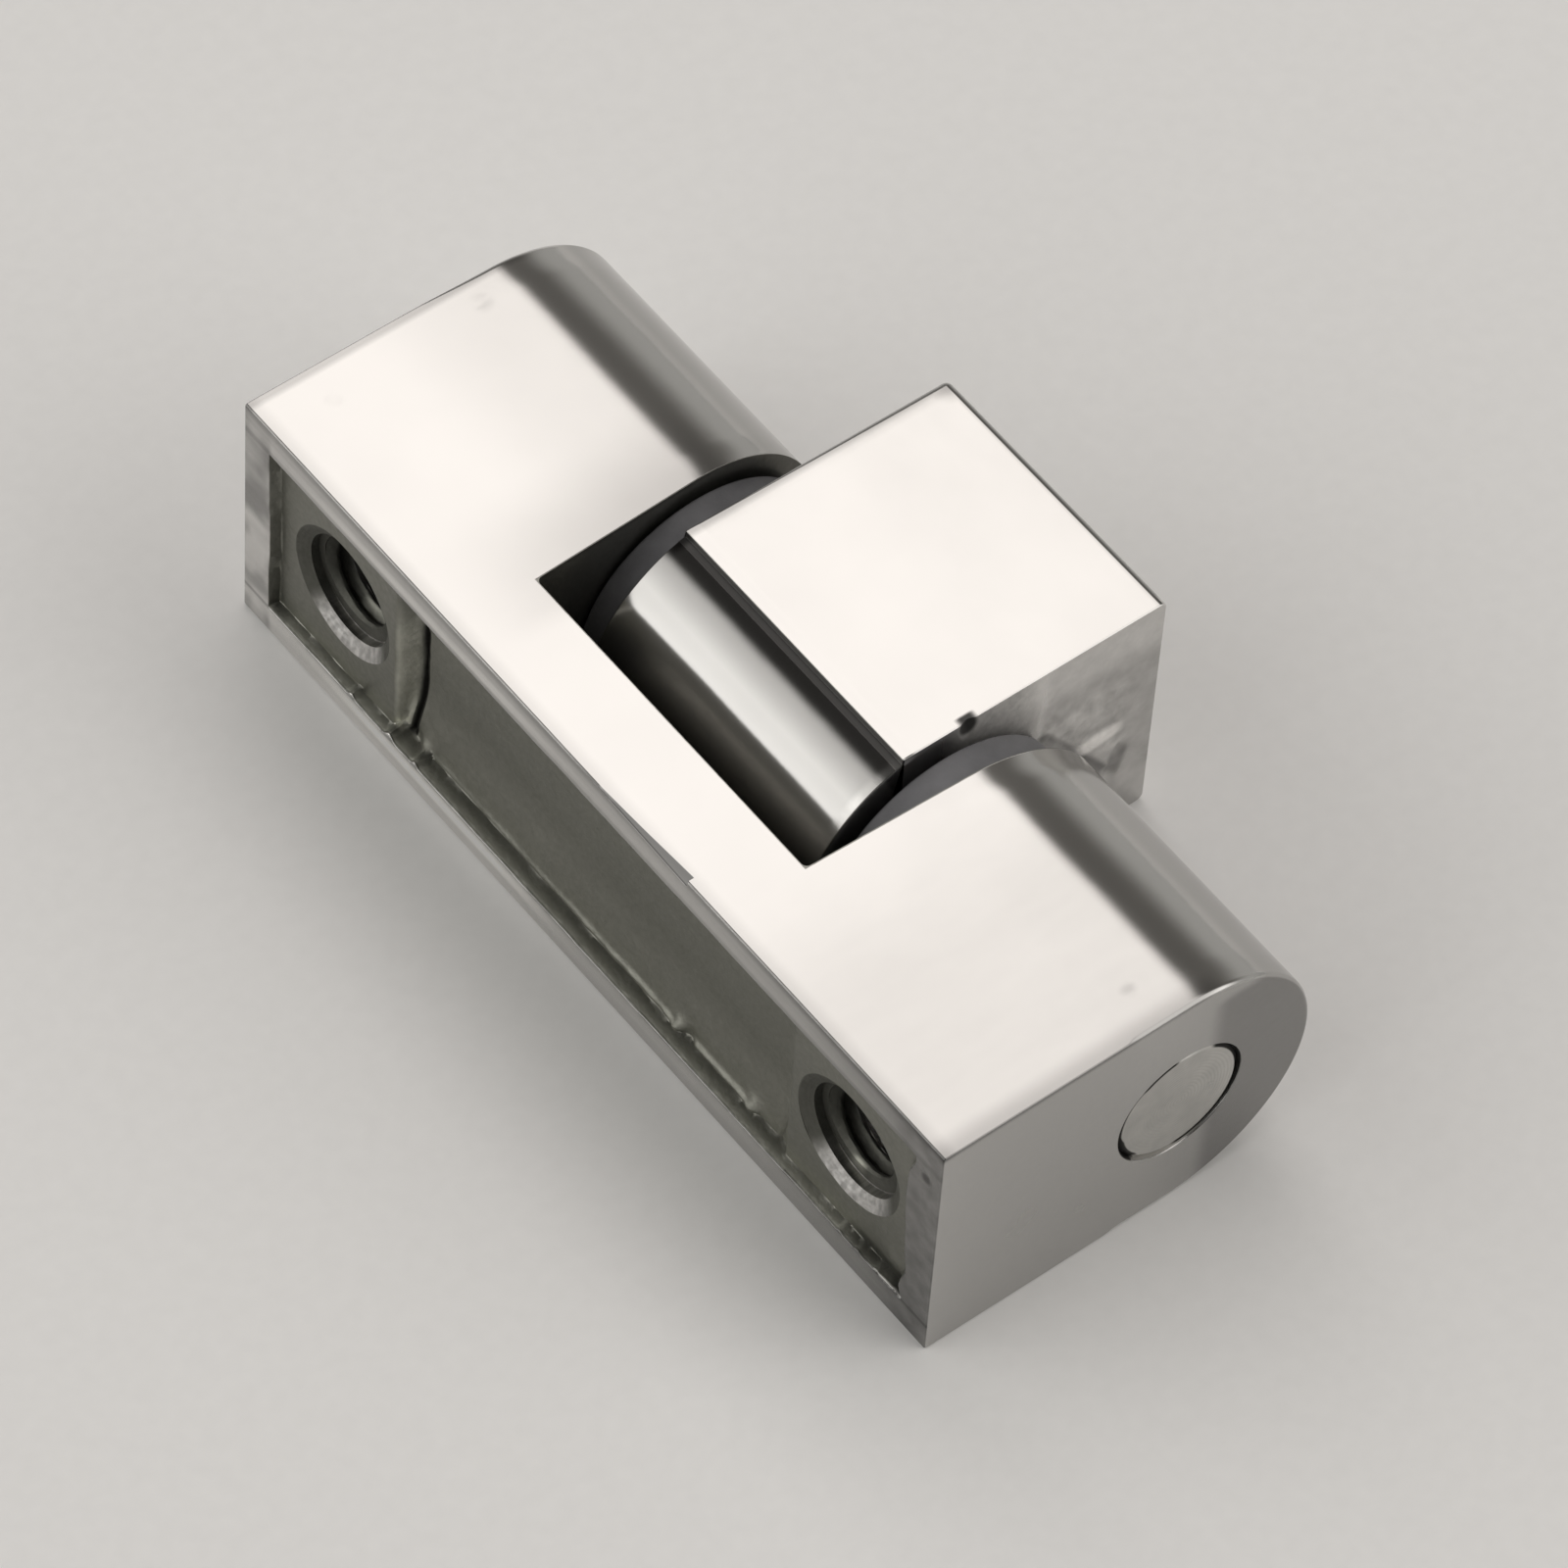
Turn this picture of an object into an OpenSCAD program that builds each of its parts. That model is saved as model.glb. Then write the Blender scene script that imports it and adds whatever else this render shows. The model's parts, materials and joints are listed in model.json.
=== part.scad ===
// Cabinet hinge: a long frame leaf with a notch, a short door leaf turning in it on a plain pin.
// Origin: centre of the frame leaf's mounting face. +X points from that face towards the door leaf,
// +Y runs along the pin and +Z is up when the closed hinge lies on its flat side.

/* [Frame leaf] */
// Length of the frame leaf along the pin
leaf_length = 60; // [56:1:80]
// Height of both leaves, which is also the diameter of the rounded nose
leaf_height = 17.5; // [17:0.5:22]
// Distance from the frame mounting face to the pin's axis
pin_setback = 16.25; // [15.5:0.25:20]
// Thickness of the bridge left behind the notch
bridge_t = 5.5; // [4:0.1:6.2]
// Casting draft of each notch cheek, in degrees
cheek_draft = 1.8; // [0:0.1:2]
// Distance from the pin's axis back to the shoulder where the nose's end chamfer starts
shoulder_back = 4; // [2:0.5:6]
// Chamfer round the two ends of the nose
nose_chamfer = 0.3; // [0.2:0.1:1]

/* [Mounting faces] */
// Width of the rim along the long sides of a mounting face
rim_t = 2.1; // [1.4:0.1:2.4]
// Width of the rim at the ends of the frame leaf's mounting face
end_rim_t = 2.3; // [1.6:0.1:2.8]
// Depth of a boss face below its rim
boss_recess = 0.7; // [0.3:0.1:0.8]
// Depth of the pocket between the two bosses
pocket_depth = 2; // [1.7:0.1:2.6]
// Size of the sloped edge along the pocket's floor
floor_slope = 0.9; // [0.4:0.1:1]
// Run of a boss's sloped inner side along the leaf
boss_slope = 0.8; // [0.3:0.1:1.5]
// Margin of boss face beyond the countersink
boss_margin = 0.6; // [0.6:0.1:2]

/* [Threaded holes] */
// Nominal thread diameter
thread_d = 6; // [4:1:6]
// Mouth diameter of the countersink
sink_d = 8.4; // [8:0.2:10]
// Depth of the countersink
sink_depth = 1; // [0.5:0.1:1.5]
// Distance from each end of the frame leaf to its hole's axis
hole_inset = 8; // [7.5:0.25:9]
// Metal left between a hole's drill point and the pin's bore
thread_web = 1.75; // [1:0.25:2.5]

/* [Pin and washers] */
// Pin diameter
pin_d = 8; // [6:0.5:9]
// How far each pin end lies below the leaf's end face
pin_sink = 0.1; // [0:0.05:0.3]
// Chamfer on the pin's ends
pin_chamfer = 0.5; // [0.2:0.1:0.8]
// Chamfer at the mouth of the pin's bore
mouth_chamfer = 0.25; // [0.1:0.05:0.5]
// Radial running clearance of the door leaf on the pin
pin_clearance = 0.05; // [0.02:0.01:0.09]
// Outer diameter of a thrust washer
washer_d = 15.4; // [12:0.2:16]
// Thickness of a thrust washer
washer_t = 2; // [1.4:0.1:2.2]
// Radial clearance of a thrust washer on the pin
washer_clearance = 0.1; // [0.05:0.05:0.3]

/* [Door leaf] */
// Width of the door leaf along the pin
door_width = 18.6; // [17:0.2:21]
// Distance from the pin's axis to the door mounting face
door_reach = 15.35; // [14:0.05:24]
// How far the door leaf's flat land runs past the pin's axis
land_overlap = 2.4; // [1:0.2:3]
// How far the knuckle is turned down below the flat faces
knuckle_relief = 0.1; // [0.05:0.05:0.3]
// Gap between the door leaf and the far washer
far_gap = 0.05; // [0.02:0.01:0.1]
// Gap between the door leaf and the near washer
near_gap = 0.5; // [0.1:0.05:1]
// Gap between a washer and the nearest point of its cheek
seat_gap = 0.05; // [0.02:0.01:0.1]

/* [Hidden] */
$fn = 96;
// Overrun of a cut past the face that it opens
cut = 1;
half_height = leaf_height / 2;
half_length = leaf_length / 2;
pin_r = pin_d / 2;
thread_r = thread_d / 2;
sink_r = sink_d / 2;
washer_r = washer_d / 2;
// Frame leaf: the hole axes and the boss edges along Y
hole_y = half_length - hole_inset;
boss_y = hole_y - sink_r - boss_margin;
pocket_y = half_length - end_rim_t;
pocket_z = half_height - rim_t;
// Both leaves: a drill point of 118 degrees ends each threaded hole
drill_r = thread_r * 5 / 6;
drill_point = drill_r * tan(31);
// Width taken up between the cheeks by the washers, the door leaf and their gaps
stack_w = door_width + 2 * washer_t + far_gap + near_gap + 2 * seat_gap;
// The far washer's outer face and the near washer's outer face stand equally far from mid-length
seat_y = stack_w / 2 - seat_gap;
door_far_y = seat_y - washer_t - far_gap;
door_mid_y = door_far_y - door_width / 2;
door_face_x = pin_setback + door_reach;
// The notch opens towards the nose by the draft, and is tightest where a washer first meets it
tight_x = pin_setback - washer_r;
notch_half_tight = stack_w / 2;
notch_half_bridge = notch_half_tight - (tight_x - bridge_t) * tan(cheek_draft);
notch_end_x = pin_setback + half_height + cut;
notch_half_end = notch_half_tight + (notch_end_x - tight_x) * tan(cheek_draft);
knuckle_r = half_height - knuckle_relief;

// Cylinder along Y with both end edges chamfered
module chamfered_round(r, length, chamfer) {
    rotate([90, 0, 0])
        rotate_extrude()
            polygon([
                [0, -length / 2],
                [r - chamfer, -length / 2],
                [r, -length / 2 + chamfer],
                [r, length / 2 - chamfer],
                [r - chamfer, length / 2],
                [0, length / 2]
            ]);
}

// Plain cylinder along Y, centred on the origin
module round_y(r, length) {
    rotate([90, 0, 0])
        cylinder(r = r, h = length, center = true);
}

// Cut for a countersunk, tapped blind hole that runs along +X from the boss face at x = 0
module tapped_hole(thread_length) {
    rotate([0, 90, 0]) {
        translate([0, 0, -cut])
            cylinder(r = sink_r, h = cut);
        cylinder(r1 = sink_r, r2 = thread_r, h = sink_depth);
        cylinder(r = thread_r, h = sink_depth + thread_length);
        translate([0, 0, sink_depth + thread_length])
            cylinder(r1 = drill_r, r2 = 0, h = drill_point);
    }
}

// Length of full thread that the web in front of the pin's bore leaves, from the mounting face
function thread_run(face_to_pin, bore_r) =
    face_to_pin - bore_r - thread_web - drill_point - boss_recess - sink_depth;

// Outer form of the frame leaf: square back, round nose with chamfered ends
module frame_blank() {
    shoulder_x = pin_setback - shoulder_back;
    web_length = leaf_length - 2 * nose_chamfer;
    translate([0, -half_length, -half_height])
        cube([shoulder_x, leaf_length, leaf_height]);
    translate([0, -web_length / 2, -half_height])
        cube([pin_setback, web_length, leaf_height]);
    translate([pin_setback, 0, 0])
        chamfered_round(half_height, leaf_length, nose_chamfer);
}

// Cut between the cheeks, as wide as the door leaf with its two washers
module notch_cut() {
    translate([0, 0, -half_height - cut])
        linear_extrude(height = leaf_height + 2 * cut)
            polygon([
                [bridge_t, -notch_half_bridge],
                [notch_end_x, -notch_half_end],
                [notch_end_x, notch_half_end],
                [bridge_t, notch_half_bridge]
            ]);
}

// Cut in the frame mounting face: shallow over the bosses, deeper between them
module frame_pocket() {
    intersection() {
        translate([0, 0, -half_height])
            linear_extrude(height = leaf_height)
                polygon([
                    [-cut, -pocket_y],
                    [boss_recess, -pocket_y],
                    [boss_recess, -boss_y],
                    [pocket_depth, -boss_y + boss_slope],
                    [pocket_depth, boss_y - boss_slope],
                    [boss_recess, boss_y],
                    [boss_recess, pocket_y],
                    [-cut, pocket_y]
                ]);
        rotate([90, 0, 0])
            linear_extrude(height = leaf_length, center = true)
                polygon([
                    [-cut, -pocket_z],
                    [pocket_depth - floor_slope, -pocket_z],
                    [pocket_depth, -pocket_z + floor_slope],
                    [pocket_depth, pocket_z - floor_slope],
                    [pocket_depth - floor_slope, pocket_z],
                    [-cut, pocket_z]
                ]);
    }
}

// Bore for the pin through both ears, with a small chamfer at each mouth
module pin_bore_cut() {
    translate([pin_setback, 0, 0]) {
        round_y(pin_r, leaf_length + 2 * cut);
        for (side = [-1, 1])
            translate([0, side * half_length, 0])
                rotate([side * 90, 0, 0])
                    cylinder(r1 = pin_r + mouth_chamfer, r2 = pin_r, h = mouth_chamfer);
    }
}

module frame_leaf() {
    color([0.80, 0.79, 0.76])
        difference() {
            frame_blank();
            notch_cut();
            frame_pocket();
            pin_bore_cut();
            for (side = [-1, 1])
                translate([boss_recess, side * hole_y, 0])
                    tapped_hole(thread_run(pin_setback, pin_r));
        }
}

module door_leaf() {
    bore_r = pin_r + pin_clearance;
    color([0.82, 0.81, 0.78])
        difference() {
            union() {
                translate([pin_setback - land_overlap, door_mid_y - door_width / 2, -half_height])
                    cube([door_reach + land_overlap, door_width, leaf_height]);
                translate([pin_setback, door_mid_y, 0])
                    round_y(knuckle_r, door_width);
            }
            translate([pin_setback, door_mid_y, 0])
                round_y(bore_r, door_width + 2 * cut);
            translate([door_face_x - boss_recess, door_mid_y - door_width / 2 + rim_t, -pocket_z])
                cube([boss_recess + cut, door_width - 2 * rim_t, 2 * pocket_z]);
            translate([door_face_x - boss_recess, door_mid_y, 0])
                rotate([0, 0, 180])
                    tapped_hole(thread_run(door_reach, bore_r));
        }
}

module hinge_pin() {
    color([0.62, 0.62, 0.60])
        translate([pin_setback, 0, 0])
            chamfered_round(pin_r, leaf_length - 2 * pin_sink, pin_chamfer);
}

// Plastic ring between the door leaf and one cheek
module thrust_washer() {
    difference() {
        round_y(washer_r, washer_t);
        round_y(pin_r + washer_clearance, washer_t + 2 * cut);
    }
}

module near_washer() {
    color([0.16, 0.16, 0.17])
        translate([pin_setback, -seat_y + washer_t / 2, 0])
            thrust_washer();
}

module far_washer() {
    color([0.16, 0.16, 0.17])
        translate([pin_setback, seat_y - washer_t / 2, 0])
            thrust_washer();
}

frame_leaf();
door_leaf();
hinge_pin();
near_washer();
far_washer();
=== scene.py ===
# %% [markdown]
# This scene dresses a cast cabinet hinge. A long leaf with a rounded nose is notched in the middle,
# and a short leaf turns in the notch on a steel pin between two plastic washers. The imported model
# gives every size and place. Each piece is rebuilt here with the rounded edges, tapped threads and
# foundry marks that a plain solid leaves out, and then it stands in for its solid.

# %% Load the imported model
import json
import math

import bpy
import numpy as np
from mathutils import Matrix, Vector


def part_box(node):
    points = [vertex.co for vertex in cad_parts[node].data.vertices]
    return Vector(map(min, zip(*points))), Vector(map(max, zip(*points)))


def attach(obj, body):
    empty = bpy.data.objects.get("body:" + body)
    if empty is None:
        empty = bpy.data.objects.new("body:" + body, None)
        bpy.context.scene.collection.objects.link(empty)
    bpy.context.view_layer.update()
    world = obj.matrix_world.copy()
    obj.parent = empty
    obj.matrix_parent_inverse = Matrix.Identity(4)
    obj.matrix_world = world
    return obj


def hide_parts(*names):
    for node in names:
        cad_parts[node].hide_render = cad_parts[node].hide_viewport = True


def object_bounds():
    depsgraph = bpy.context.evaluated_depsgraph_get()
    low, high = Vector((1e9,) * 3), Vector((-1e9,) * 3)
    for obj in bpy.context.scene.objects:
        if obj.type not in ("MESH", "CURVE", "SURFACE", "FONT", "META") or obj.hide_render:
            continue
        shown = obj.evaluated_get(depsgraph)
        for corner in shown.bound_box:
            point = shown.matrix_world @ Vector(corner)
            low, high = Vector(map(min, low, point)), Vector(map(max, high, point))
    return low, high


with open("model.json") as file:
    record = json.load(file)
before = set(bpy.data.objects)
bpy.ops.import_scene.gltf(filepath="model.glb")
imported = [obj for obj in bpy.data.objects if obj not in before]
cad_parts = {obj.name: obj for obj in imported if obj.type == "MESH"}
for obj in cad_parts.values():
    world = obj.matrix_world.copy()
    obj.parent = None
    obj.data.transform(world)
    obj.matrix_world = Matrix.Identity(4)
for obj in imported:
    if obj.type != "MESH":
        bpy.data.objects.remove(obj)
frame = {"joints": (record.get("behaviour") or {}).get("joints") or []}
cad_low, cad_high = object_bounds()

MM = 0.001
print("CAD box in mm:", [round(v / MM, 2) for v in (*cad_low, *cad_high)])

# %% [markdown]
# The leaf is easier to think about in millimetres, so all shapes are worked out in millimetres and
# turned to metres when a mesh is made. Sizes that a box shows are read from the frame. The rest are
# the same named sizes that the construction uses.

# %% Sizes read from the frame, in millimetres
def node_box(node):
    """Lowest and highest corner of a CAD node in millimetres, as two arrays."""
    low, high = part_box(node)
    return np.array(low) / MM, np.array(high) / MM


leaf_high = node_box("frame_leaf")[1]
door_low, door_high = node_box("door_leaf")
pin_low, pin_high = node_box("hinge_pin")
pin_x = frame["joints"][0]["pos_m"][0] / MM
half_length = leaf_high[1]
half_height = leaf_high[2]
pin_r = (pin_high[2] - pin_low[2]) / 2
knuckle_r = pin_x - door_low[0]
print(f"leaf {2 * half_length:.1f} x {2 * half_height:.1f} mm, pin {2 * pin_r:.1f} mm at x {pin_x:.2f} mm")

# %% Sizes shared with the construction, in millimetres
bridge_t = 5.5
cheek_draft = math.radians(1.8)
notch_half_tight = 11.625
shoulder_x = pin_x - 4
land_x = pin_x - 2.4
rim_t = 2.1
end_rim_t = 2.3
boss_recess = 0.7
pocket_depth = 2.0
boss_y = 17.2
boss_slope = 0.8
hole_y = half_length - 8
sink_r = 4.2
sink_depth = 1.0
thread_r = 3.0
frame_thread_run = 7.3
door_thread_run = 6.35
door_mid_y = (door_low[1] + door_high[1]) / 2

# %% [markdown]
# A photographer of small chrome parts stands well back with a long lens, so that the part hardly
# narrows with distance. The camera stands a good half metre off, to the left of the leaf's near end
# and above it, and is turned a few degrees in the hand.

# %% Camera
CAMERA_AZIMUTH = math.radians(-41.439)
CAMERA_ELEVATION = math.radians(53.644)
CAMERA_ROLL = math.radians(4.481)
CAMERA_DISTANCE = 522.40
CAMERA_AIM = Vector((12.161, -1.810, 0.0))
LENS = 226.68
SENSOR = 36.0


def make_camera():
    """Camera on a sphere round its aim. Its back vector is (sin a cos e, -cos a cos e, sin e)."""
    a, e = CAMERA_AZIMUTH, CAMERA_ELEVATION
    back = Vector((math.sin(a) * math.cos(e), -math.cos(a) * math.cos(e), math.sin(e)))
    data = bpy.data.cameras.new("portrait_camera")
    data.lens, data.sensor_width = LENS, SENSOR
    data.clip_start, data.clip_end = 0.01, 20.0
    camera = bpy.data.objects.new("portrait_camera", data)
    bpy.context.scene.collection.objects.link(camera)
    level = (-back).to_track_quat("-Z", "Y").to_matrix().to_4x4()
    place = Matrix.Translation((CAMERA_AIM + back * CAMERA_DISTANCE) * MM)
    camera.matrix_world = place @ level @ Matrix.Rotation(CAMERA_ROLL, 4, "Z")
    bpy.context.scene.camera = camera
    return camera


camera = make_camera()
bpy.context.scene.view_settings.view_transform = "Standard"
print("camera stands at", [round(v, 4) for v in camera.matrix_world.translation])

# %% [markdown]
# Shader maths is easier to read as arithmetic than as a web of nodes. The class below wraps one
# output socket, and each operator adds the Math node that it names.

# %% Shader arithmetic
class Wire:
    """One output socket of a node tree. Operators on wires and numbers add Math nodes."""

    def __init__(self, tree, socket):
        self.tree, self.socket = tree, socket

    def math(self, operation, *values):
        return node(self.tree, "ShaderNodeMath", {"operation": operation}, dict(enumerate(values))).out()

    def __add__(self, other):
        return self.math("ADD", self, other)

    __radd__ = __add__

    def __sub__(self, other):
        return self.math("SUBTRACT", self, other)

    def __rsub__(self, other):
        return self.math("SUBTRACT", other, self)

    def __mul__(self, other):
        return self.math("MULTIPLY", self, other)

    __rmul__ = __mul__

    def __truediv__(self, other):
        return self.math("DIVIDE", self, other)

    def size(self):
        return self.math("ABSOLUTE", self)

    def root(self):
        return self.math("SQRT", self)

    def sine(self):
        return self.math("SINE", self)

    def most(self, other):
        return self.math("MAXIMUM", self, other)

    def rise(self, start, end, low=0.0, high=1.0):
        """Smooth step from low at start to high at end. Start may lie above end."""
        settings = {"interpolation_type": "SMOOTHSTEP"}
        inputs = {0: self, 1: start, 2: end, 3: low, 4: high}
        return node(self.tree, "ShaderNodeMapRange", settings, inputs).out()

    def near(self, centre, half, soft):
        """1 within half of a centre, falling to 0 over a soft band outside it."""
        return (self - centre).size().rise(half + soft, half)


class Node:
    """A node that was just added, whose outputs are taken as wires."""

    def __init__(self, tree, made):
        self.tree, self.made = tree, made

    def out(self, name=0):
        return Wire(self.tree, self.made.outputs[name])


def node(tree, kind, settings=None, inputs=None):
    """Adds one node of a kind: its settings first, then the values or links of its sockets."""
    made = tree.nodes.new(kind)
    for name, value in (settings or {}).items():
        if name == "stops":
            elements = made.color_ramp.elements
            while len(elements) < len(value):
                elements.new(0.5)
            for element, (place, colour) in zip(elements, value):
                element.position, element.color = place, (*colour, 1.0)
        else:
            setattr(made, name, value)
    for name, value in (inputs or {}).items():
        if isinstance(value, Wire):
            tree.links.new(value.socket, made.inputs[name])
        else:
            made.inputs[name].default_value = value
    return Node(tree, made)


def empty_tree(owner):
    """Clears the node tree of a material or world and returns it."""
    owner.use_nodes = True
    owner.node_tree.nodes.clear()
    return owner.node_tree

# %% Nodes that several finishes use
def noise(tree, place, scale, detail):
    """Soft random value, about 0.3 to 0.7, over the vector place."""
    inputs = {"Vector": place, "Scale": scale, "Detail": detail}
    return node(tree, "ShaderNodeTexNoise", None, inputs).out("Fac")


def ramp(tree, stops, factor):
    """Colour of a factor on a ramp of (place, colour) stops."""
    return node(tree, "ShaderNodeValToRGB", {"stops": stops}, {0: factor}).out()


def scaled(tree, colour, factor):
    """A colour times a number."""
    return node(tree, "ShaderNodeVectorMath", {"operation": "SCALE"}, {0: colour, "Scale": factor}).out()


def bump(tree, height, distance, strength):
    """Normal bent by a height, whose unit is a distance in metres."""
    inputs = {"Height": height, "Distance": distance, "Strength": strength}
    return node(tree, "ShaderNodeBump", None, inputs).out()


def new_material(name):
    """A material, its empty tree, its Object coordinates, and the same in mm as x, y and z."""
    material = bpy.data.materials.new(name)
    tree = empty_tree(material)
    place = node(tree, "ShaderNodeTexCoord").out("Object")
    axes = node(tree, "ShaderNodeSeparateXYZ", None, {0: place})
    return material, tree, place, [axes.out(k) / MM for k in "XYZ"]


def finish_surface(tree, inputs):
    """Ends a material's tree in one Principled shader with these inputs."""
    shader = node(tree, "ShaderNodeBsdfPrincipled", None, inputs)
    output = node(tree, "ShaderNodeOutputMaterial")
    tree.links.new(shader.out().socket, output.made.inputs["Surface"])

# %% [markdown]
# Bright plating shows little of its own colour. What the eye reads as its shape is the room in it:
# here two long soft boxes that run alongside the pin, one overhead and one low on the left, with
# dark ceiling between them. The world is painted as that room, as a function of direction. The tilt
# of a direction is its angle from straight up about the pin's axis.

# %% Studio room
LAMP_DIRECTION = (0.50, -0.62, 0.60)
CEILING = (0.050, 0.0475, 0.044)
FAR_CEILING = (0.105, 0.10, 0.092)
HORIZON = (0.30, 0.30, 0.29)
OVERHEAD_BOX = (1.57, 1.505, 1.46)
SIDE_BOX_HIGH = (0.72, 0.71, 0.69)
SIDE_BOX_LOW = (0.86, 0.85, 0.83)
FRONT_LAMP = (1.35, 1.32, 1.28)


def make_room():
    """World colour: dark ceiling, plus each soft box inside its span of tilt, plus a paler horizon,
    plus a round lamp at the front right."""
    world = bpy.data.worlds.new("studio_room")
    bpy.context.scene.world = world
    tree = empty_tree(world)
    place = node(tree, "ShaderNodeTexCoord").out("Generated")
    axes = node(tree, "ShaderNodeSeparateXYZ", None, {0: place})
    x, y, z = axes.out("X"), axes.out("Y"), axes.out("Z")
    tilt = x.math("ARCTAN2", x, z) * math.degrees(1)
    lengthwise = y.rise(-0.45, -0.05) * y.rise(0.98, 0.85)
    overhead = tilt.rise(-2, 6) * tilt.rise(39, 29) * lengthwise * y.rise(0.30, 0.47, 0.92, 1.0)
    side = tilt.rise(-22, -28) * tilt.rise(-86, -78) * lengthwise
    to_lamp = {0: place, 1: LAMP_DIRECTION}
    toward_lamp = node(tree, "ShaderNodeVectorMath", {"operation": "DOT_PRODUCT"}, to_lamp).out("Value")

    def lit(colour, mask, onto):
        added = {0: scaled(tree, colour, mask), 1: onto}
        return node(tree, "ShaderNodeVectorMath", {"operation": "ADD"}, added).out()

    colour = lit(FAR_CEILING, tilt.rise(-5, 30), CEILING)
    colour = lit(HORIZON, z.rise(0.52, 0.20), colour)
    colour = lit(OVERHEAD_BOX, overhead, colour)
    colour = lit(SIDE_BOX_HIGH, side, colour)
    colour = lit(SIDE_BOX_LOW, side * tilt.rise(-26, -66), colour)
    colour = lit(FRONT_LAMP, toward_lamp.rise(0.84, 0.97), colour)
    background = node(tree, "ShaderNodeBackground", None, {"Color": colour, "Strength": 1.0})
    output = node(tree, "ShaderNodeOutputWorld")
    tree.links.new(background.out().socket, output.made.inputs["Surface"])


make_room()
print("room made")

# %% [markdown]
# The hinge lies on a plain pale board. One large square is enough, because the soft light comes from
# the painted room. Its colour is a shade under white, so that the polished metal keeps its greys.

# %% Pale floor
FLOOR_HALF = 3000.0


def make_floor():
    """One square of pale board under the hinge, with a faint tooth in its colour and roughness."""
    corners = np.array([(-1, -1), (1, -1), (1, 1), (-1, 1)]) * FLOOR_HALF * MM
    points = [(x, y, cad_low.z) for x, y in corners]
    mesh = bpy.data.meshes.new("floor")
    mesh.from_pydata(points, [], [(0, 1, 2, 3)])
    floor = bpy.data.objects.new("floor", mesh)
    bpy.context.scene.collection.objects.link(floor)
    material, tree, place, _ = new_material("pale_board")
    tooth = noise(tree, place, 900.0, 3.0)
    tint = ramp(tree, [(0.3, (0.855, 0.85, 0.84)), (0.7, (0.875, 0.87, 0.86))], tooth)
    finish_surface(tree, {"Base Color": tint, "Roughness": 0.66 + 0.1 * tooth, "Specular IOR Level": 0.2})
    mesh.materials.append(material)


make_floor()
print("floor at z", round(cad_low.z / MM, 2), "mm")

# %% [markdown]
# Every solid below is a grid of points closed into a skin: rows along a path, columns round a
# section. A ring closes both ways, and anything else gets a flat face at each end. A mesh with a
# negative volume is inside out, and is turned.

# %% Closed skins from grids of points
def closed_skin(name, grid, ring=False):
    """Mesh object from points in mm of shape (rows, columns, 3). Columns wrap, and rows too in a ring."""
    rows, columns, _ = grid.shape
    index = np.arange(rows * columns).reshape(rows, columns)
    if ring:
        index = np.vstack([index, index[:1]])
    here, there = index[:-1], index[1:]
    quads = np.stack([here, np.roll(here, -1, 1), np.roll(there, -1, 1), there], -1).reshape(-1, 4)
    faces = quads.tolist()
    if not ring:
        faces += [index[0][::-1].tolist(), index[-1].tolist()]
    mesh = bpy.data.meshes.new(name)
    mesh.from_pydata((grid.reshape(-1, 3) * MM).tolist(), [], faces)
    mesh.update()
    piece = bpy.data.objects.new(name, mesh)
    bpy.context.scene.collection.objects.link(piece)
    if skin_volume(mesh) < 0:
        mesh.flip_normals()
    return piece


def skin_volume(mesh):
    """Signed volume of a closed mesh in cubic mm: one sixth of the sum of its triangles' triple products."""
    mesh.calc_loop_triangles()
    points = np.empty(len(mesh.vertices) * 3)
    mesh.vertices.foreach_get("co", points)
    corners = np.empty(len(mesh.loop_triangles) * 3, int)
    mesh.loop_triangles.foreach_get("vertices", corners)
    a, b, c = np.moveaxis(points.reshape(-1, 3)[corners.reshape(-1, 3)], 1, 0)
    return float(np.einsum("ij,ij->i", a, np.cross(b, c)).sum() / 6 / MM**3)


# %% Outlines made of arcs
def arc(centre_a, centre_b, radius, start, end, steps):
    """Points centre + radius (cos t, sin t) and outward normals (cos t, sin t), t in degrees."""
    t = np.radians(np.linspace(start, end, steps + 1))
    normals = np.stack([np.cos(t), np.sin(t)], 1)
    return np.array([centre_a, centre_b]) + radius * normals, normals


def outline(*pieces):
    """Joins arcs and straight runs, each as (points, normals), into one closed outline."""
    return np.vstack([p for p, _ in pieces]), np.vstack([n for _, n in pieces])


def straight(points, angle):
    """Extra points on a straight side, whose outward normal points at angle."""
    t = math.radians(angle)
    return np.array(points, float), np.tile([math.cos(t), math.sin(t)], (len(points), 1))


# %% A section carried along a straight path, with rounded ends
def rounded_bar(points, normals, low, high, low_radius, high_radius, order, steps=6):
    """Grid of a section carried from low to high. Near an end each point moves inwards along its
    normal by r (1 - sin t) at a distance r (1 - cos t) from the end, so the end edge is a quarter
    circle of radius r. The radius may differ from point to point."""
    t = np.linspace(0, math.pi / 2, steps + 1)[:, None]
    low_r, high_r = (np.broadcast_to(np.asarray(r, float), (len(points),)) for r in (low_radius, high_radius))
    inset = np.vstack([low_r * (1 - np.sin(t)), (high_r * (1 - np.sin(t)))[::-1]])
    along = np.vstack([low + low_r * (1 - np.cos(t)), (high - high_r * (1 - np.cos(t)))[::-1]])
    section = points[None] - inset[..., None] * normals[None]
    return np.stack([section[..., 0], section[..., 1], along], -1)[..., list(order)]

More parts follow.
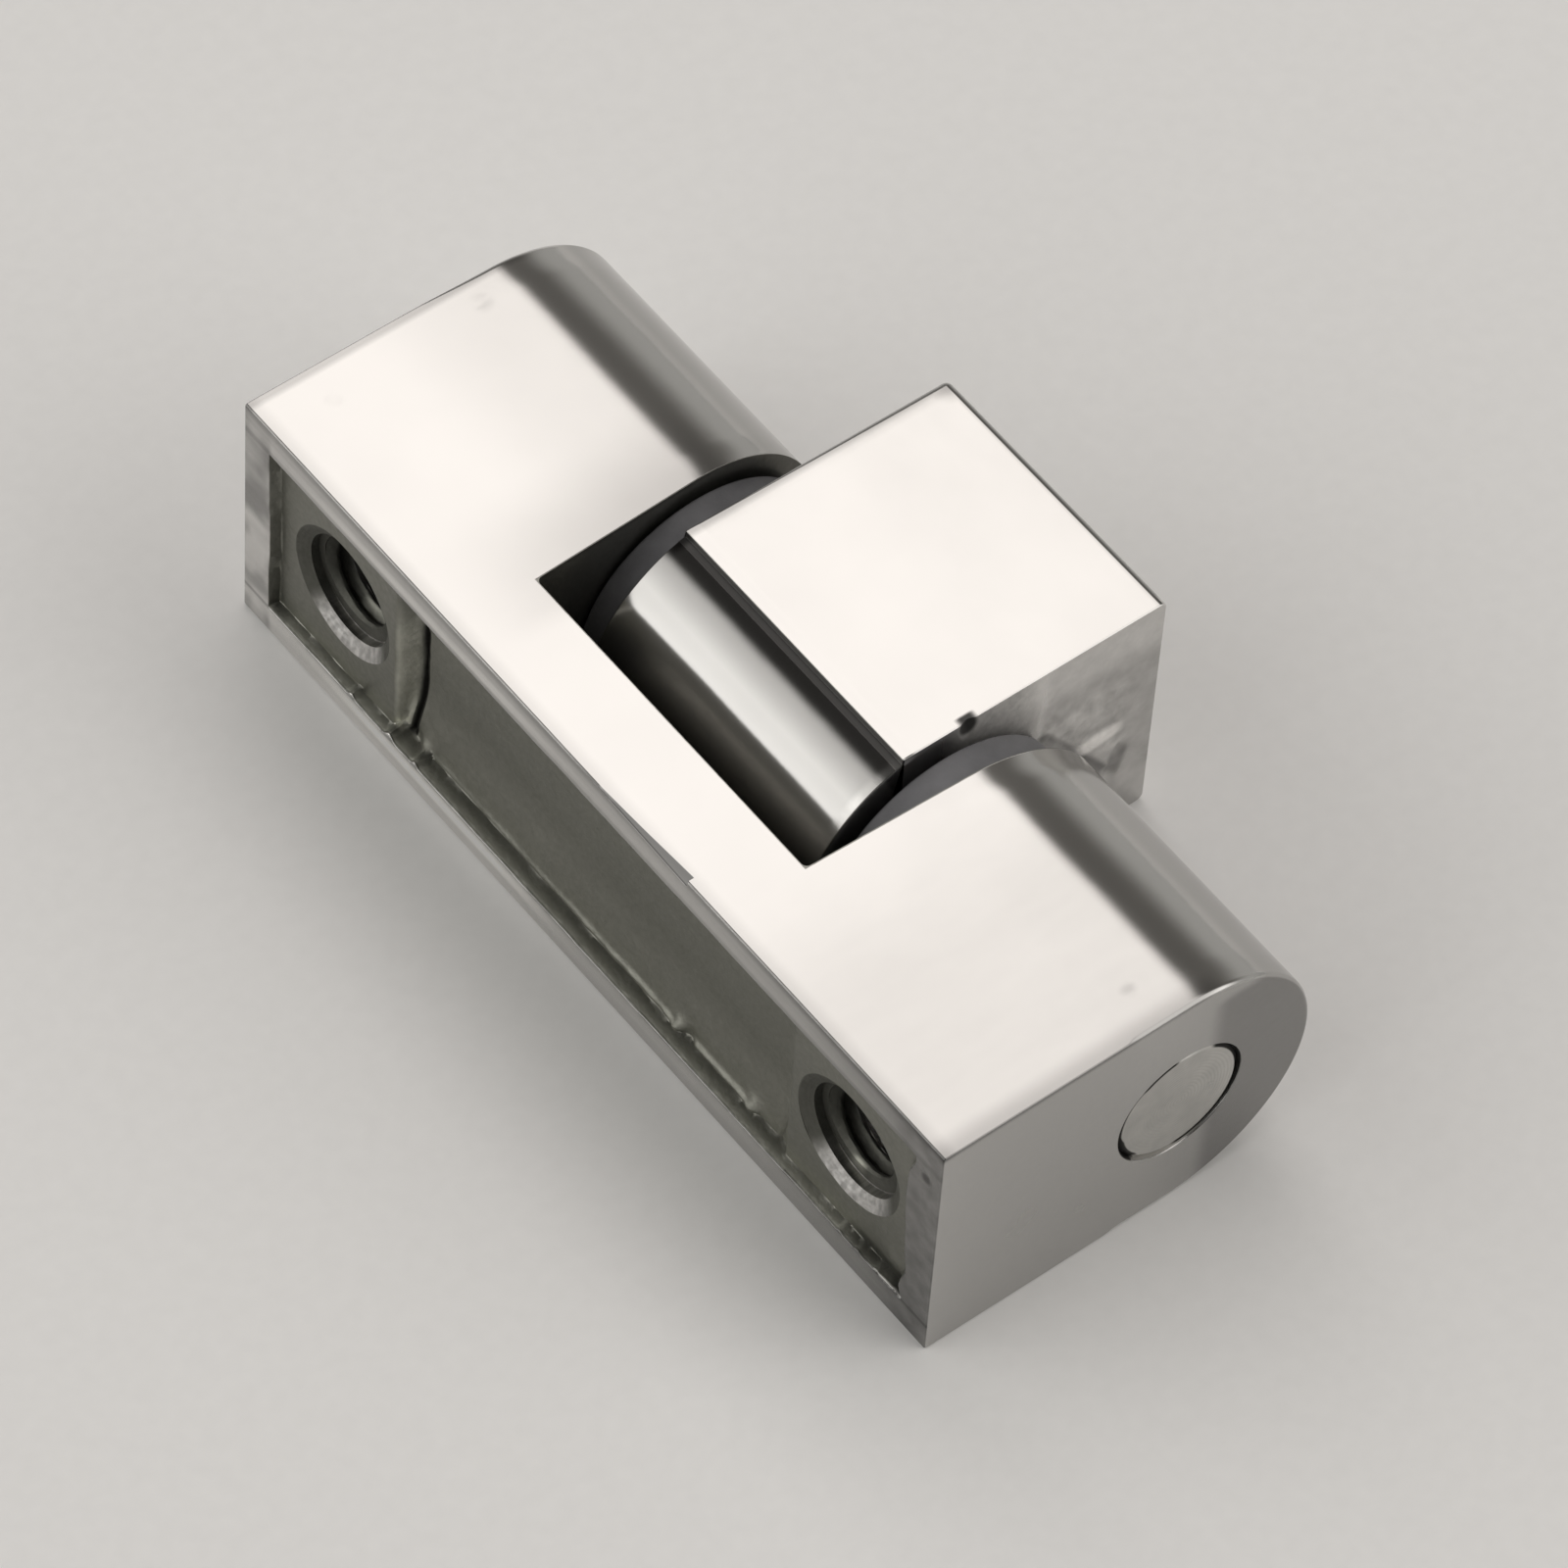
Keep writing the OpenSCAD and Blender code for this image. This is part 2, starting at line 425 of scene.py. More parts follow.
# %% Carving
def carve(body, cutters):
    """Subtracts closed skins and keeps one closed mesh. The cutters are used up."""
    for cutter in cutters:
        step = body.modifiers.new(cutter.name, "BOOLEAN")
        step.object, step.operation, step.solver = cutter, "DIFFERENCE", "MANIFOLD"
    graph = bpy.context.evaluated_depsgraph_get()
    result = bpy.data.meshes.new_from_object(body.evaluated_get(graph))
    before = body.data
    body.modifiers.clear()
    body.data = result
    result.name = body.name
    bpy.data.meshes.remove(before)
    for cutter in cutters:
        bpy.data.objects.remove(cutter)
    print(f"{body.name}: {len(result.polygons)} faces, {skin_volume(result):.0f} cubic mm")


# %% Smooth random fields
def soft_noise(a, b, cell, seed):
    """Smooth field over two coordinates, about -1 to 1: a random lattice of that cell size in mm,
    blended between its corners by 3 t^2 - 2 t^3."""
    lattice = np.random.default_rng(seed).uniform(-1, 1, (64, 64))
    u, v = np.asarray(a) / cell + 17.3, np.asarray(b) / cell + 29.7
    i, j = np.floor(u).astype(int), np.floor(v).astype(int)
    s, t = u - i, v - j
    s, t = s * s * (3 - 2 * s), t * t * (3 - 2 * t)

    def corner(di, dj):
        return lattice[(i + di) % 64, (j + dj) % 64]

    near = corner(0, 0) * (1 - s) + corner(1, 0) * s
    far = corner(0, 1) * (1 - s) + corner(1, 1) * s
    return near * (1 - t) + far * t


def smooth_step(value, start, end):
    """3 t^2 - 2 t^3 of the share t of the way from start to end."""
    t = np.clip((value - start) / (end - start), 0, 1)
    return t * t * (3 - 2 * t)


# %% [markdown]
# The long leaf starts as one bar with a D-shaped section: square at the back and a half circle at
# the nose. The edges of the back are barely broken, while the nose's end edges were linished round,
# which starts at a small shoulder. So the end radius changes along the outline.

# %% Blank of the long leaf
BACK_EDGE = 0.16
FLAT_END_EDGE = 0.12
NOSE_END_EDGE = 0.36


def frame_blank():
    """D-shaped bar along the pin, from end to end of the leaf."""
    run_x = np.linspace(pin_x - 0.4, shoulder_x - 1.6, 12)
    points, normals = outline(
        arc(pin_x, 0, half_height, -90, 90, 72),
        straight([(x, half_height) for x in run_x], 90),
        arc(BACK_EDGE, half_height - BACK_EDGE, BACK_EDGE, 90, 180, 6),
        arc(BACK_EDGE, BACK_EDGE - half_height, BACK_EDGE, 180, 270, 6),
        straight([(x, -half_height) for x in run_x[::-1]], -90),
    )
    near_share = smooth_step(points[:, 0], shoulder_x - 0.3, shoulder_x + 0.6)
    far_share = smooth_step(points[:, 0], shoulder_x - 1.5, pin_x)
    near_edge = FLAT_END_EDGE + (NOSE_END_EDGE - FLAT_END_EDGE) * near_share
    far_edge = FLAT_END_EDGE + (NOSE_END_EDGE - FLAT_END_EDGE) * far_share
    grid = rounded_bar(points, normals, -half_length, half_length, near_edge, far_edge, (0, 2, 1))
    return closed_skin("frame_casting", grid)


frame_casting = frame_blank()
print("blank:", round(skin_volume(frame_casting.data)), "cubic mm")

# %% [markdown]
# The notch of the real leaf is cast with a little draft, so its cheeks open towards the nose. Here a
# wedge with rounded corners cuts it from the bar. A thin sliver is also missing from the top back
# edge, where the casting was knocked, and a second wedge takes it away.

# %% Cutter for the notch
NOTCH_CORNER = 0.35
CUT_OVERRUN = 2.0


def notch_cutter():
    """Wedge with rounded inner corners, as wide as the gap between the cheeks at each x."""
    slope = math.tan(cheek_draft)
    washer_r = node_box("near_washer")[1][2]
    tight_x = pin_x - washer_r
    half_bridge = notch_half_tight - (tight_x - bridge_t) * slope
    end_x = pin_x + half_height + CUT_OVERRUN
    half_end = notch_half_tight + (end_x - tight_x) * slope
    corner_x = bridge_t + NOTCH_CORNER
    corner_y = half_bridge - NOTCH_CORNER
    points, normals = outline(
        arc(corner_x, corner_y, NOTCH_CORNER, 90, 180, 5),
        arc(corner_x, -corner_y, NOTCH_CORNER, 180, 270, 5),
        straight([(end_x, -half_end)], -45),
        straight([(end_x, half_end)], 45),
    )
    height = half_height + CUT_OVERRUN
    return closed_skin("notch_cutter", rounded_bar(points, normals, -height, height, 0.0, 0.0, (0, 1, 2), 1))

# %% Cutter for the chipped back edge
CHIP_NEAR_Y = -8.65
CHIP_FAR_Y = 3.0
CHIP_DEPTH = 0.42
CHIP_OVERRUN = 0.3


def edge_chip_cutter():
    """Thin wedge along the top back edge: CHIP_DEPTH at the near end, and from there it falls as the
    share of the way to the far end to the power 1.3, with a slight ripple."""
    y = np.linspace(CHIP_NEAR_Y, CHIP_FAR_Y, 12)
    depth = CHIP_DEPTH * ((CHIP_FAR_Y - y) / (CHIP_FAR_Y - CHIP_NEAR_Y)) ** 1.3 + 0.006 * np.cos(5 * y)
    depth = np.maximum(depth, 0.004)
    section = np.stack([
        np.stack([depth * 1.15, y, 0 * y + half_height], -1),
        np.stack([0 * y - CHIP_OVERRUN, y, 0 * y + half_height + CHIP_OVERRUN], -1),
        np.stack([0 * y, y, half_height - depth], -1),
    ], 1)
    section[:, 0, 2] += 0.001
    section[:, 2, 0] -= 0.001
    return closed_skin("edge_chip_cutter", section)

# %% [markdown]
# The mounting face is as cast: a rim, a flat boss round each tapped hole, and a deeper pocket
# between the bosses. Metal flowed unevenly there, so the walls wander, the floor is uneven, a bead
# of flash runs along the foot of the lower wall, and a fine groove runs under each boss's slope.
# The recess is a height field: the depth x below the rim as a function of y and z. Rows and columns
# crowd where the walls are, so that their rounded edges are drawn with real faces.

# %% Depth of the long leaf's recess
WALL_RISE = 6.0
WALL_EDGE = 0.09
FILLET = 0.14
FOOT_DEPTH = 1.05
FOOT_SLOPE = 0.26
BEAD_RISE = 0.15
BEAD_FOOT = 0.27
BEAD_WIDTH = 0.20
CRACK_FAR = 0.50
CRACK_NEAR = 0.12
TABS = ((20.2, 0.26, 0.30), (16.8, 0.34, 0.42), (14.5, 0.24, 0.30))
CRUMBS = ((-7.55, -6.20, 0.45, 0.26), (-8.5, -6.35, 0.45, -0.16), (-13.9, -6.20, 0.50, 0.26),
          (14.9, -6.2, 0.40, 0.20), (15.8, -6.2, 0.45, -0.16),
          (-27.0, 2.6, 0.7, 0.12), (-26.4, -5.2, 0.7, 0.14))


def wall_depth(inside):
    """Depth that the wall allows at a distance inside the rim's inner edge: a steep ramp whose top
    is rounded over WALL_EDGE, and just above the rim outside it."""
    curve = WALL_RISE * (inside + WALL_EDGE) ** 2 / (4 * WALL_EDGE)
    ramp = np.where(inside > WALL_EDGE, WALL_RISE * inside, curve)
    return np.where(inside < -WALL_EDGE, 0.2 * (inside + WALL_EDGE), ramp) - 0.02


def soft_least(a, b, blend):
    """Smaller of two fields, with a smooth fillet where they are within blend of each other."""
    share = np.clip(0.5 + 0.5 * (b - a) / blend, 0, 1)
    return b * (1 - share) + a * share - blend * share * (1 - share)


def hump(value, centre, width):
    """Bell exp(-((value - centre) / width)^2)."""
    return np.exp(-(((value - centre) / width) ** 2))


def bead_runs(y):
    """1 along the two runs of the bead of flash at the foot of the lower wall, 0 between them."""
    far_run = smooth_step(y, -8.1, -7.3) * smooth_step(y, 15.4, 14.4)
    far_run = far_run * (0.45 + 0.55 * smooth_step(y, 8.0, -5.0))
    near_run = smooth_step(y, -14.6, -13.7) * smooth_step(y, -8.2, -9.2)
    return (far_run + near_run) * (1 + 0.35 * soft_noise(y, 0 * y, 0.8, 6))


def frame_depth(y, z):
    """Depth of the recess at y, z: bosses and pocket joined by slopes, under four steep walls. The
    pocket's floor climbs towards the lower wall and meets it at FOOT_DEPTH."""
    wander = 0.08 * soft_noise(y, z, 2.6, 1) + 0.03 * soft_noise(y, z, 0.9, 2)
    foot = half_height - rim_t - np.abs(z)
    slope_edge = boss_y + 0.06 * soft_noise(z, y * 0, 2.2, 3)
    into_pocket = smooth_step(slope_edge - np.abs(y), -0.1, boss_slope)
    climb = np.where(z < 0, FOOT_DEPTH + FOOT_SLOPE * np.maximum(foot, 0), pocket_depth + 1)
    floor = soft_least(boss_recess + (pocket_depth - boss_recess) * into_pocket, climb, 0.3)
    crack = hump(np.abs(y), slope_edge - boss_slope - 0.10, 0.15) * smooth_step(z, 2.6, 1.8)
    floor = floor + crack * np.where(y > 0, CRACK_FAR, CRACK_NEAR) * (1 + 0.25 * soft_noise(z, y * 0, 1.4, 8))
    floor = floor + 0.035 * soft_noise(y, z, 3.1, 4) + 0.012 * soft_noise(y, z, 0.7, 5)
    floor = floor - BEAD_RISE * hump(foot, BEAD_FOOT, BEAD_WIDTH) * bead_runs(y) * (z < 0) - crumbs(y, z)
    tabs = sum(reach * hump(y, tab_y, width) for tab_y, width, reach in TABS)
    near_teeth = 0.10 * smooth_step(y, -20.5, -22.5) * np.maximum(np.sin(y * 4.1), 0) ** 2
    bottom = foot + 0.4 * wander - (tabs + near_teeth) * (z < 0)
    near_end = smooth_step(y, -24, -27)
    end = half_length - end_rim_t - np.abs(y) + wander + near_end * 0.35 * soft_noise(z, y * 0, 1.7, 9)
    depth = soft_least(floor, wall_depth(bottom), FILLET)
    return soft_least(depth, wall_depth(end) / (1 + 2.5 * near_end), FILLET * 2)


def crumbs(y, z):
    """Soft lumps of flash at the ends of the bead's runs with small dents behind them."""
    height = 0 * y
    for crumb_y, crumb_z, radius, rise in CRUMBS:
        height = height + rise * np.exp(-((y - crumb_y) ** 2 + (z - crumb_z) ** 2) / radius**2)
    return height


def grid_lines(limit, wall, coarse, fine):
    """Grid lines from -limit to limit, fine near plus and minus wall and coarse elsewhere."""
    middle = np.arange(-wall + 0.9, wall - 0.9, coarse)
    edge = np.arange(wall - 0.9, limit + fine, fine)
    return np.concatenate([-edge[::-1], middle[1:], edge])


def relief_cutter(name, depth, a_lines, b_lines, face, inwards, order, over=1.5):
    """Closed skin between a depth field over two axes and a plane outside the face that it cuts.
    The order says which of (inwards, a, b) becomes x, y and z."""
    a, b = np.meshgrid(a_lines, b_lines, indexing="ij")
    front = np.stack([face + inwards * depth(a, b), a, b], -1)
    back = front[:, [-1, 0]].copy()
    back[..., 0] = face - inwards * over
    return closed_skin(name, np.concatenate([front, back], 1)[..., list(order)])


def frame_recess_cutter():
    wall_z, wall_y = half_height - rim_t, half_length - end_rim_t
    y_lines = grid_lines(wall_y + 0.7, wall_y, 0.13, 0.09)
    z_lines = grid_lines(wall_z + 0.7, wall_z, 0.20, 0.05)
    print("recess grid:", len(y_lines), "by", len(z_lines))
    return relief_cutter("recess_cutter", frame_depth, y_lines, z_lines, 0.0, 1.0, (0, 1, 2))

# %% [markdown]
# The screw holes are countersunk and tapped. A tap leaves a helical groove with flat crests, so the
# cutter is a turned shape whose radius also depends on the angle: the larger of the countersink's
# cone and the thread, and never more than the drill point's cone at the bottom. The flank that
# faces the mouth is worn long by screws, so it catches the light.

# %% Cutter for a tapped hole
PITCH = 1.0
THREAD_DEPTH = 0.45
THREAD_SHARES = (0.1, 0.5, 0.7, 0.9)
DRILL_HALF_ANGLE = math.radians(59)
HOLE_AROUND = 64
HOLE_PER_TURN = 14
MOUTH_R = 3.45
CONE_DEPTH = 0.45


def thread_radius(depth, turn):
    """Radius of the tapped wall over each pitch: the root, a long flank that faces the mouth, the
    crest and a short flank behind it, which start at the four shares of the pitch."""
    phase = np.mod(depth / PITCH - turn, 1.0)
    return thread_r - THREAD_DEPTH + THREAD_DEPTH * np.interp(phase, THREAD_SHARES, (1, 0, 0, 1))


def hole_cutter(name, face_x, y, inwards, thread_run):
    """Countersunk, tapped blind hole along x from the boss face, with a drill point at its end. The
    countersink falls from its mouth to MOUTH_R, and the thread starts below a short plain wall."""
    full = sink_depth + thread_run
    tip = full + (thread_r - THREAD_DEPTH) / math.tan(DRILL_HALF_ANGLE)
    depth = np.concatenate([
        [-0.9, 0.0], np.linspace(0.15, CONE_DEPTH, 3), np.linspace(CONE_DEPTH + 0.1, sink_depth, 4),
        np.arange(sink_depth + 0.05, full, PITCH / HOLE_PER_TURN), np.linspace(full, tip - 0.02, 6),
    ])[:, None]
    turn = (np.arange(HOLE_AROUND) / HOLE_AROUND)[None]
    cone = sink_r - (sink_r - MOUTH_R) * np.clip(depth / CONE_DEPTH, 0, 1)
    cone = np.where(depth > sink_depth, 0.0, cone)
    point = (tip - depth) * math.tan(DRILL_HALF_ANGLE)
    radius = np.maximum(cone, thread_radius(depth, turn))
    radius = np.minimum(radius, np.maximum(point, 0.01))
    angle = 2 * math.pi * turn
    grid = np.stack([
        face_x + inwards * depth + 0 * angle, y + radius * np.cos(angle), radius * np.sin(angle),
    ], -1)
    return closed_skin(name, grid)

# %% Cutter for the pin's bore
BORE_CHAMFER = 0.12


def turned(profile, y_centre, around=96):
    """Grid of a shape turned about the pin's axis from a profile of (y, radius) points."""
    profile = np.array(profile, float)
    angle = 2 * math.pi * np.arange(around)[None] / around
    radius = profile[:, 1:] + 0 * angle
    return np.stack([
        pin_x + radius * np.cos(angle), y_centre + profile[:, :1] + 0 * angle, radius * np.sin(angle),
    ], -1)


def bore_cutter():
    reach = half_length + 1
    wide = pin_r + BORE_CHAMFER
    ends = [(half_length - 2 * BORE_CHAMFER, pin_r), (half_length + 0.001, wide), (reach, wide)]
    profile = [(-y, r) for y, r in ends[::-1]] + ends
    return closed_skin("bore_cutter", turned(profile, 0.0))

# %% Carve the long leaf
carve(frame_casting, [
    notch_cutter(),
    frame_recess_cutter(),
    bore_cutter(),
    hole_cutter("near_hole_cutter", boss_recess, -hole_y, 1.0, frame_thread_run),
    hole_cutter("far_hole_cutter", boss_recess, hole_y, 1.0, frame_thread_run),
    edge_chip_cutter(),
])

# %% [markdown]
# The short leaf is one casting too: a knuckle round the pin, flat lands above and below that end in
# a crisp step just past the pin's axis, and a block with the door's mounting face.

# %% Blank of the short leaf
FACE_EDGE = 0.48
FAR_SIDE_EDGE = 0.42
NEAR_SIDE_EDGE = 0.10
LAND_EDGE = 0.04
PIN_CLEARANCE = 0.05


def door_blank():
    """Section of knuckle, lands and block, carried along the pin from side to side."""
    face_x = door_high[0]
    meet = math.degrees(math.acos((land_x - pin_x) / knuckle_r))
    points, normals = outline(
        arc(face_x - FACE_EDGE, FACE_EDGE - half_height, FACE_EDGE, -90, 0, 6),
        arc(face_x - FACE_EDGE, half_height - FACE_EDGE, FACE_EDGE, 0, 90, 6),
        arc(land_x + LAND_EDGE, half_height - LAND_EDGE, LAND_EDGE, 90, 180, 3),
        arc(pin_x, 0, knuckle_r, meet, 360 - meet, 64),
        arc(land_x + LAND_EDGE, LAND_EDGE - half_height, LAND_EDGE, 180, 270, 3),
    )
    far_edge = np.where(points[:, 0] > pin_x + 2, FAR_SIDE_EDGE, NEAR_SIDE_EDGE)
    sides = door_low[1], door_high[1]
    grid = rounded_bar(points, normals, *sides, NEAR_SIDE_EDGE, far_edge, (0, 2, 1), 5)
    return closed_skin("door_casting", grid)


def door_depth(y, z):
    """Shallow recess of the door's mounting face inside a plain rim."""
    floor = boss_recess + 0.02 * soft_noise(y, z, 2.1, 11)
    wander = 0.05 * soft_noise(y, z, 2.6, 12)
    side = half_height - rim_t - np.abs(z) + wander
    end = (door_high[1] - door_low[1]) / 2 - rim_t - np.abs(y - door_mid_y) + wander
    return soft_least(soft_least(floor, wall_depth(side), 0.3), wall_depth(end), 0.3)


def door_recess_cutter():
    wall_z = half_height - rim_t
    wall_y = (door_high[1] - door_low[1]) / 2 - rim_t
    y_lines = door_mid_y + grid_lines(wall_y + 0.7, wall_y, 0.4, 0.12)
    z_lines = grid_lines(wall_z + 0.7, wall_z, 0.4, 0.12)
    return relief_cutter("door_recess_cutter", door_depth, y_lines, z_lines, door_high[0], -1.0, (0, 1, 2))


def door_bore_cutter():
    reach = (door_high[1] - door_low[1]) / 2 + 1
    bore_r = pin_r + PIN_CLEARANCE
    return closed_skin("door_bore_cutter", turned([(-reach, bore_r), (reach, bore_r)], door_mid_y))

# %% [markdown]
# Metal enters a mould through a gate, and breaking the gate off leaves a scar. This one is a soft
# sunk patch on the short leaf's near side, with a torn line, two pits and a nick above it. It is a
# height field too, over x and z.

# %% Scar and nick on the short leaf's near side
TORN_LINE = (23.4, 2.9), (28.4, -3.9)
PIT = (29.4, -2.5), (28.9, -4.4)
NICK = (18.2, 8.3)


def along_line(x, z, start, end):
    """Share of the way along a segment, and the signed distance from its line in mm."""
    run = np.subtract(end, start)
    length = math.hypot(*run)
    dx, dz = x - start[0], z - start[1]
    return (dx * run[0] + dz * run[1]) / length**2, (dz * run[0] - dx * run[1]) / length


def groove(x, z, start, end, width):
    """Groove of depth 1 along a segment, that fades out at both ends."""
    share, off = along_line(x, z, start, end)
    return np.exp(-((off / width) ** 2)) * smooth_step(share, -0.08, 0.06) * smooth_step(share, 1.08, 0.94)


def scar_depth(x, z):
    """Depth of the broken-off gate's scar: a soft sunk patch with a sloping lower lip, a torn line
    beside it, a pit under its corner, and a nick in the top edge."""
    wander = 0.12 * soft_noise(x, z, 1.1, 21)
    _, above_left = along_line(x, z, *TORN_LINE)
    _, above_lip = along_line(x, z, (27.2, -1.3), (29.2, -0.3))
    patch = smooth_step(above_left + wander, 0.0, 0.5) * smooth_step(above_lip + wander, 0.0, 1.2)
    patch = patch * smooth_step(x, 22.9, 24.1) * smooth_step(x + wander, 30.6, 28.2)
    patch = patch * smooth_step(z + wander, 8.0, 4.6)
    depth = 0.16 * patch * (1 + 0.4 * soft_noise(x, z, 0.9, 22) + 0.12 * soft_noise(x, z, 0.4, 23))
    depth = depth + 0.16 * groove(x, z, *TORN_LINE, 0.34)
    for pit_x, pit_z in PIT:
        depth = depth + 0.16 * np.exp(-(((x - pit_x) / 0.40) ** 2 + ((z - pit_z) / 0.60) ** 2))
    nick_x, nick_z = NICK
    depth = depth + 0.25 * np.exp(-(((x - nick_x) / 0.40) ** 2 + ((z - nick_z) / 0.75) ** 2))
    return depth - 0.02


def scar_cutter():
    x_lines = np.arange(17.4, 30.4, 0.09)
    z_lines = np.arange(-5.6, 9.2, 0.09)
    return relief_cutter("scar_cutter", scar_depth, x_lines, z_lines, door_low[1], 1.0, (1, 0, 2))


door_casting = door_blank()
carve(door_casting, [
    door_bore_cutter(),
    door_recess_cutter(),
    hole_cutter("door_hole_cutter", door_high[0] - boss_recess, door_mid_y, -1.0, door_thread_run),
    scar_cutter(),
])

# %% [markdown]
# The pin is plain turned steel. Its chamfered end shows in the leaf's near end face. The thrust
# washers are moulded, with softly rounded rims.

# %% Pin and washers
PIN_CHAMFER = 0.22
WASHER_EDGE = 0.22


def make_pin():
    """Turned pin: small centre flat, face, chamfer and barrel, closed at both ends."""
    reach = pin_high[1]
    edge = [(reach, 0.4), (reach, pin_r - PIN_CHAMFER - 0.05), (reach - 0.05, pin_r - PIN_CHAMFER),
            (reach - PIN_CHAMFER + 0.04, pin_r - 0.04), (reach - PIN_CHAMFER, pin_r)]
    profile = [(-y, r) for y, r in edge] + edge[::-1]
    return closed_skin("pin_steel_rod", turned(profile, 0.0, 128))


def make_washer(cad_node, name):
    """Ring with a rectangular section whose four corners are rounded."""
    low, high = node_box(cad_node)
    inner, outer, edge = pin_r + 0.1, high[2], WASHER_EDGE
    thickness = high[1] - low[1]
    corners = [(thickness - edge, outer - edge, 0, 90), (edge, outer - edge, 90, 180),
               (edge, inner + edge, 180, 270), (thickness - edge, inner + edge, 270, 360)]
    profile = np.vstack([arc(y, r, edge, a, b, 4)[0] for y, r, a, b in corners])
    return closed_skin(name, turned(profile, low[1], 128), ring=True)


pin_rod = make_pin()
near_ring = make_washer("near_washer", "near_thrust_ring")
far_ring = make_washer("far_washer", "far_thrust_ring")
for piece in (pin_rod, near_ring, far_ring):
    print(piece.name, round(skin_volume(piece.data)), "cubic mm")

# %% [markdown]
# Castings like this are plated with nickel and chrome, and polished on the outside only. Polishing
# leaves the skin slightly wavy, which bends the edges of the soft boxes in it. In the recess the
# plating is thin and dull over the grey casting skin, and it looks dark olive.

# %% Plated casting finish
POLISHED = (0.60, 0.59, 0.575, 1.0)
AS_CAST = (0.25, 0.25, 0.22, 1.0)
# How much the dark marks, mostly painted shade, darken the colour
DIRT_AND_SHADE_DARK = 0.93


def plated_casting(name, features):
    """Plated metal. features(tree, x, y, z) returns wires: dull where it is as cast, machined where
    it was cut, rough where it was torn or linished, dark marks that are mostly painted shade, shade
    that paints light and shade into the colour, and lift, a height in mm."""
    material, tree, place, (x, y, z) = new_material(name)
    dull, machined, rough, dirt_and_shade, shade, lift = features(tree, x, y, z)
    cloud = noise(tree, place, 140.0, 3.0)
    grain = noise(tree, place, 2600.0, 3.0)
    peel = noise(tree, place, 420.0, 2.0)
    wave = noise(tree, place, 75.0, 1.0)
    tint = node(tree, "ShaderNodeMix", {"data_type": "RGBA"}, {"Factor": dull, "A": POLISHED, "B": AS_CAST})
    level = shade * (1.0 - 0.05 * cloud - dull * grain * 0.25 - rough * grain * 0.15)
    colour = scaled(tree, tint.out(2), level * (1.0 - DIRT_AND_SHADE_DARK * dirt_and_shade))
    roughness = 0.12 + 0.05 * cloud + dull * (0.24 + 0.12 * grain)
    roughness = roughness + machined * 0.14 + rough * 0.20 + dirt_and_shade * 0.4
    height = 0.16 * wave + 0.008 * peel + dull * (0.035 * grain + 0.042 * peel)
    height = height + rough * (0.012 * grain + 0.02 * peel) + lift
    normal = bump(tree, height, MM, 1.0)
    finish_surface(tree, {"Base Color": colour, "Metallic": 1.0, "Roughness": roughness, "Normal": normal})
    return material


def distance(a, b):
    """Length of the vector (a, b)."""
    return (a * a + b * b).root()


def angle_of(up, across):
    """Angle of the vector (across, up) from the across axis, in degrees."""
    return up.math("ARCTAN2", up, across) * math.degrees(1)

# %% [markdown]
# A finish looks real when it knows where it is. Each mask below is a number from 0 to 1 that is
# worked out from the place x, y, z in millimetres: a smooth step across an edge, or a distance from
# a point. The masks then say how dull, dark or rough the plating is there, and many of them paint
# shade, highlights and glints into its colour.

# %% Marks on the long leaf
JOINT_R = 3.87


def pin_joint_shade(x, y, z):
    """Painted shade in the joint round the pin's near end: a dark line, wider at the upper left and
    lower left, and closed at the top and at the bottom, as a function of the angle about the pin."""
    across = x - pin_x
    angle = angle_of(z, across)
    closed = (angle - 76.0).size().rise(15, 23) * (angle + 111.0).size().rise(19, 28)
    width = 0.14 + 0.08 * angle.near(112.0, 12, 12) + 0.14 * angle.near(-152.0, 14, 12)
    width = width + 0.04 * angle.near(0.0, 55, 15)
    off = (distance(across, z) - JOINT_R).size()
    line = (width - off) * 12.0
    return line.rise(0, 1) * closed * y.rise(-half_length + 0.7, -half_length + 0.5)


def rim_painted_light(y, z):
    """Painted light and shade on the mounting face's rim: a lighter line along it, darker edges, and darker
    to the near end.
    """
    out_z = z.size()
    lower = z.rise(0.5, -0.5)
    level = y.rise(-29.0, -10.0, 0.56, 1.0) + lower * y.rise(-4.0, 10.0, 0.0, 0.36)
    line = out_z.near(7.35, 0.12, 0.50) * (0.10 + 0.32 * y.near(13.0, 4.0, 10.0))
    edges = (1.0 - lower) * (0.30 * out_z.rise(8.0, 8.5) + 0.20 * out_z.near(6.85, 0.10, 0.25))
    edges = edges + lower * 0.40 * out_z.near(6.66, 0.08, 0.12)
    return level * (1.0 + line - edges)


def crescent(across, up, near_r, far_r):
    """1 on the bright lower part of a countersink whose ring lies between two radii."""
    radius = distance(across, up)
    ring = radius.rise(near_r - 0.1, near_r) * radius.rise(far_r + 0.1, far_r)
    return angle_of(up, across).near(-100.0, 34, 26) * ring


STAINS = ((14.4, 28.2, 0.9, 1.0), (4.0, 27.4, 0.7, 0.7), (14.2, -27.3, 0.7, 0.8))
# Painted glints in the threads: hole's y, depth x, angle, half of the angle and half of the depth.
PAINTED_GLINTS = ((hole_y, 2.73, -98.0, 16, 0.14), (-hole_y, 1.80, -86.0, 3, 0.02),
          (-hole_y, 3.65, -69.0, 12, 0.14))


def painted_thread_glints(x, y, z):
    """1 where a glint is painted into the colour of the thread's flanks: each glint has its hole's y,
    its depth x and angle, half its angle and half its depth."""
    total = 0.0
    for axis_y, glint_x, turn, half, reach in PAINTED_GLINTS:
        across = y - axis_y
        in_hole = distance(across, z).rise(3.6, 3.4)
        total = angle_of(z, across).near(turn, half, 12) * x.near(glint_x, reach, 0.12) * in_hole + total
    return total


